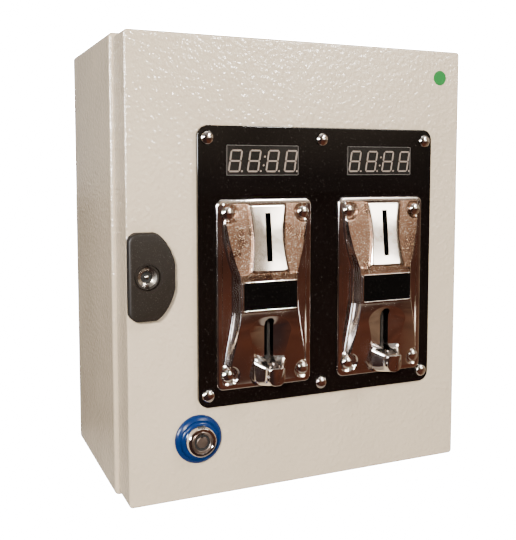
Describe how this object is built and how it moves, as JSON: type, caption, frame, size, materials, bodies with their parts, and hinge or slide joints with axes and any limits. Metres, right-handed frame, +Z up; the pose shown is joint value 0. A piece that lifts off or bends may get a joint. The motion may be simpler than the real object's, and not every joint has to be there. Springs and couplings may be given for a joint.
{
  "type": "coin-operated charging control cabinet",
  "caption": "Steel wall cabinet with a hinged door carrying coin acceptors with displays, a quarter-turn latch and a tubular-key lock; it switches charging supplies for paid time.",
  "frame": {"origin": "middle of the cabinet's footprint on the surface it stands on (the door and its fittings are in front of the footprint)", "axes": "+Z up, -Y out of the front through the door, +X to the right as seen from the front"},
  "size_m": [0.2685, 0.175, 0.3],
  "materials": {
    "powder_coat": "satin",
    "zinc_plate": "satin",
    "supply_case": "satin",
    "terminal_black": "matte",
    "terminal_grey": "matte",
    "spacer_brass": "satin",
    "board_green": "satin",
    "relay_blue": "gloss",
    "connector_green": "satin",
    "chip_black": "matte",
    "tray_steel": "satin",
    "gland_grey": "satin",
    "seal_rubber": "matte",
    "sticker_green": "satin",
    "acrylic_black": "gloss",
    "screw_chrome": "polished",
    "display_face": "gloss",
    "face_chrome": "polished",
    "window_dark": "gloss",
    "housing_black": "satin",
    "solenoid_steel": "satin",
    "sensor_cream": "matte",
    "latch_black": "matte",
    "latch_metal": "satin",
    "ring_blue": "gloss",
    "lock_chrome": "polished",
    "plug_steel": "satin"
  },
  "bodies": {
    "cabinet": {"cabinet_wrap": "powder_coat", "back_panel": "powder_coat", "plate_studs": "zinc_plate", "mounting_plate": "zinc_plate", "plate_nuts": "zinc_plate", "power_supply_base": "supply_case", "power_supply_cover": "supply_case", "power_supply_terminals": "terminal_black", "terminal_rail": "zinc_plate", "terminal_blocks": "terminal_grey", "board_standoffs": "spacer_brass", "control_board": "board_green", "charging_relays": "relay_blue", "board_terminals": "connector_green", "board_chips": "chip_black", "earth_stud": "zinc_plate", "coin_tray": "tray_steel", "gland_bodies": "gland_grey", "gland_lock_nuts": "gland_grey", "gland_caps": "gland_grey", "gland_seals": "seal_rubber", "cabinet_hinge_leaves": "zinc_plate", "hinge_pins": "zinc_plate"},
    "door": {"door_pan": "powder_coat", "door_gasket": "seal_rubber", "green_sticker": "sticker_green", "door_hinge_leaves": "zinc_plate", "front_panel": "acrylic_black", "panel_screws": "screw_chrome", "door_nuts": "zinc_plate", "display_boards": "board_green", "left_display": "display_face", "right_display": "display_face", "left_face_plate": "face_chrome", "right_face_plate": "face_chrome", "left_face_window": "window_dark", "right_face_window": "window_dark", "face_plate_screws": "screw_chrome", "left_coin_housing": "housing_black", "right_coin_housing": "housing_black", "left_coin_cover": "housing_black", "right_coin_cover": "housing_black", "left_gate_solenoid": "solenoid_steel", "right_gate_solenoid": "solenoid_steel", "left_coin_sensor": "sensor_cream", "right_coin_sensor": "sensor_cream", "latch_housing": "latch_black", "latch_screws": "zinc_plate", "lock_ring": "ring_blue", "lock_body": "lock_chrome", "lock_nut": "zinc_plate"},
    "latch": {"latch_insert": "latch_metal", "latch_cam": "zinc_plate", "latch_cam_screw": "zinc_plate"},
    "key_plug": {"lock_plug": "plug_steel", "lock_cam": "zinc_plate", "lock_cam_screw": "zinc_plate"},
    "left_gate": {"left_accept_gate": "housing_black"},
    "right_gate": {"right_accept_gate": "housing_black"}
  },
  "joints": [
    {"name": "door_hinge", "type": "hinge", "parent": "cabinet", "child": "door", "pos_m": [0.1195, -0.0681, 0.15], "axis": [0, 0, 1], "range_deg": [0, 120]},
    {"name": "latch_turn", "type": "hinge", "parent": "door", "child": "latch", "pos_m": [-0.1115, -0.076, 0.1484], "axis": [0, 1, 0], "range_deg": [0, 90]},
    {"name": "key_lock_turn", "type": "hinge", "parent": "door", "child": "key_plug", "pos_m": [-0.0775, -0.076, 0.0415], "axis": [0, -1, 0], "range_deg": [0, 90]},
    {"name": "left_gate_swing", "type": "hinge", "parent": "door", "child": "left_gate", "pos_m": [-0.0326, -0.0565, 0.099], "axis": [1, 0, 0], "range_deg": [0, 95]},
    {"name": "right_gate_swing", "type": "hinge", "parent": "door", "child": "right_gate", "pos_m": [0.0549, -0.0565, 0.099], "axis": [1, 0, 0], "range_deg": [0, 95]}
  ]
}
